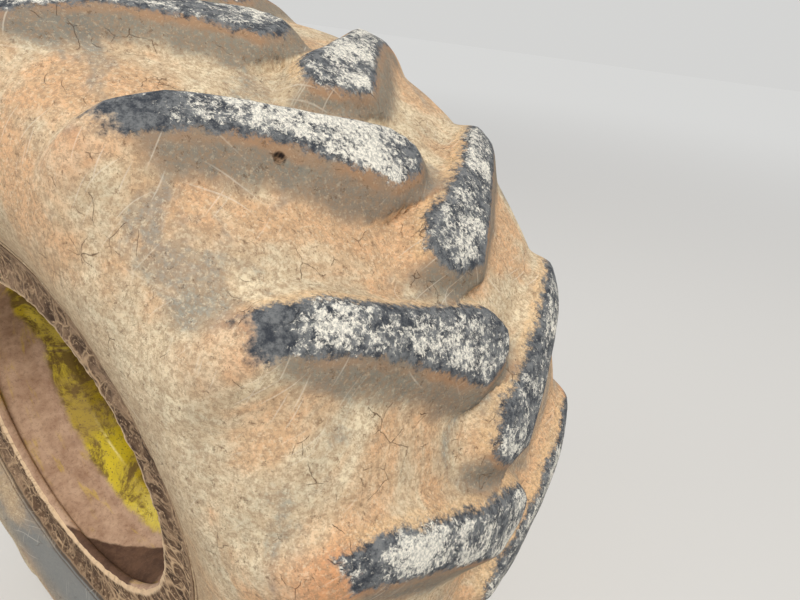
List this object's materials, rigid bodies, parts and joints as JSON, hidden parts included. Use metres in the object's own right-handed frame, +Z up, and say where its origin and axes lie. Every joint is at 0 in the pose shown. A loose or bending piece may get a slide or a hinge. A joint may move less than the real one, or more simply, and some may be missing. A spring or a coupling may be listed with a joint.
{
  "type": "forestry forwarder wheel and hub",
  "caption": "Wide lugged forestry tyre on a drop-centre steel rim, with its hub, drive shaft and the fixed axle end that it turns on.",
  "frame": {"origin": "centre of the axle end's bolting face, on the wheel's axis", "axes": "+Y along the axle towards the machine, -Y outboard, +Z up, the wheel turns about Y"},
  "size_m": [1.49, 0.857, 1.49],
  "materials": {
    "tyre": "worn rubber under a film of dried tan clay",
    "rim_paint": "yellow gloss paint, dusty, with dried mud",
    "hub_paint": "dark grey paint on cast iron, dusty",
    "axle_paint": "dark grey paint, machined bolting face",
    "steel": "zinc-plated, dulled",
    "brass": "dull brass"
  },
  "bodies": {
    "axle_end": {"spindle": "axle_paint"},
    "wheel": {"flange_ring_outer": "rim_paint", "flange_ring_inner": "rim_paint", "rim_barrel": "rim_paint", "tyre": "tyre", "wheel_disc": "rim_paint", "hub": "hub_paint", "wheel_nuts": "steel", "drive_flange": "hub_paint", "drive_shaft": "steel", "cover_bolts": "steel", "oil_plug": "steel", "valve_stem": "brass", "valve_guard": "rim_paint"}
  },
  "joints": [
    {"name": "wheel_spin", "type": "hinge", "parent": "axle_end", "child": "wheel", "pos_m": [0, 0, 0], "axis": [0, 1, 0], "continuous": true}
  ]
}
